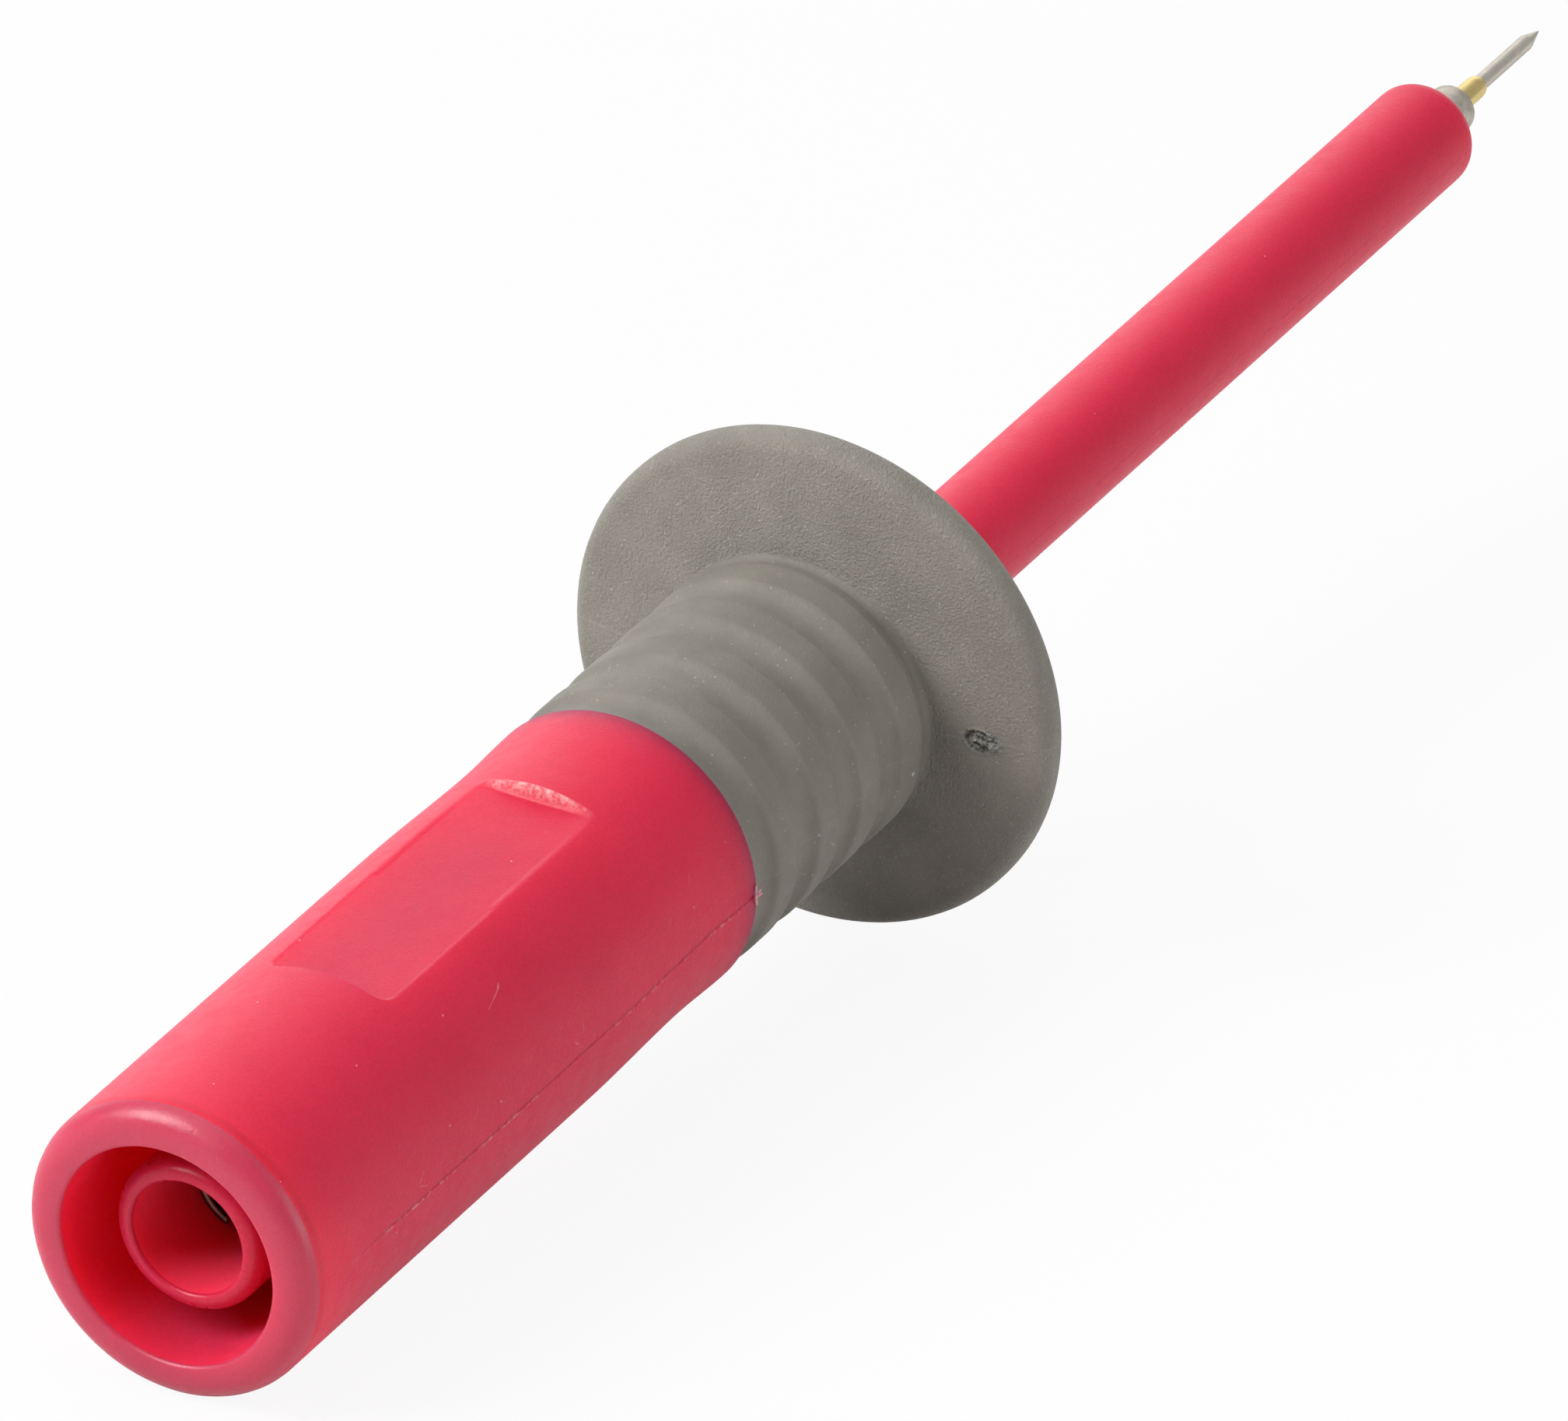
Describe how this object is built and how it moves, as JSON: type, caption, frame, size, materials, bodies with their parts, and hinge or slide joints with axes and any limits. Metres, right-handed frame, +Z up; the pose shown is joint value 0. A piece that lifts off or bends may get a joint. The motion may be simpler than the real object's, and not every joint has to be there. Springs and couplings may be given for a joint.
{
  "type": "test probe",
  "caption": "Hand-held electrical test probe with a shrouded safety socket at the rear, a soft grip with a finger guard, a slim insulated shaft and a spring-loaded needle tip.",
  "frame": {"origin": "middle of the probe's bounding box at its bottom, on the surface that the probe lies on", "axes": "the probe as it lies on a table: +X towards the needle, which points about 5 degrees up, +Z up, and the pocket in the handle faces up; Y = 0 is the symmetry plane of every piece but the slotted contact and the spring"},
  "size_m": [0.1078, 0.021, 0.021],
  "materials": {
    "handle_red": "moulded, fine matte texture",
    "shaft_red": "moulded, fine matte texture",
    "grip_grey": "soft thermoplastic rubber, matte",
    "sleeve_red": "moulded, smooth",
    "contact_brass": "turned, thinly plated",
    "rod_brass": "drawn",
    "nickel_plate": "turned, nickel-plated",
    "gold_plate": "drawn tube, gold-plated",
    "needle_steel": "ground",
    "spring_steel": "coiled wire"
  },
  "bodies": {
    "probe_body": {"handle_body": "handle_red", "front_shaft": "shaft_red", "grip_guard": "grip_grey", "socket_sleeve": "sleeve_red", "socket_contact": "contact_brass", "conductor_rod": "rod_brass", "tip_holder": "nickel_plate", "probe_barrel": "gold_plate", "plunger_spring": "spring_steel"},
    "plunger": {"needle_plunger": "needle_steel"}
  },
  "joints": [
    {"name": "plunger_slide", "type": "slide", "parent": "probe_body", "child": "plunger", "axis": [-0.9958, 0, -0.0913], "range_m": [0, 0.004], "stiffness_N_per_m": 250, "springref_m": -0.002, "deforming": ["plunger_spring"]}
  ]
}
